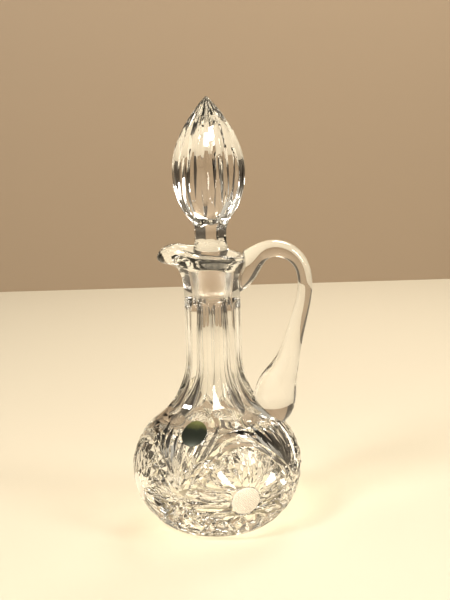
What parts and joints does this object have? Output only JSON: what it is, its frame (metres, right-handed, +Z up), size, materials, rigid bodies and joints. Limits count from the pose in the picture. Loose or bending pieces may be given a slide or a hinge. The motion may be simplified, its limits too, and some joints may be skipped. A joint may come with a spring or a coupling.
{
  "type": "wine decanter",
  "caption": "Cut-glass wine decanter with a round bulb, fluted neck, pinched pouring lip, applied strap handle and a pointed ground stopper that lifts out.",
  "frame": {"origin": "on the bottle's axis in the plane of the flat ring it stands on", "axes": "+Z up along the bottle's axis, +X toward the handle, -X toward the pouring lip, -Y toward the side with the foil seal"},
  "size_m": [0.1301, 0.12, 0.3],
  "materials": {
    "crystal": "polished cut crystal",
    "handle_crystal": "fire polished crystal",
    "stopper_crystal": "polished cut crystal with a ground plug",
    "seal_foil": "dark green metallised foil"
  },
  "bodies": {
    "decanter": {"bottle": "crystal", "handle": "handle_crystal", "foil_seal": "seal_foil"},
    "stopper": {"stopper": "stopper_crystal"}
  },
  "joints": [
    {"name": "stopper_lift", "type": "slide", "parent": "decanter", "child": "stopper", "axis": [0, 0, 1], "range_m": [0, 0.07]}
  ]
}
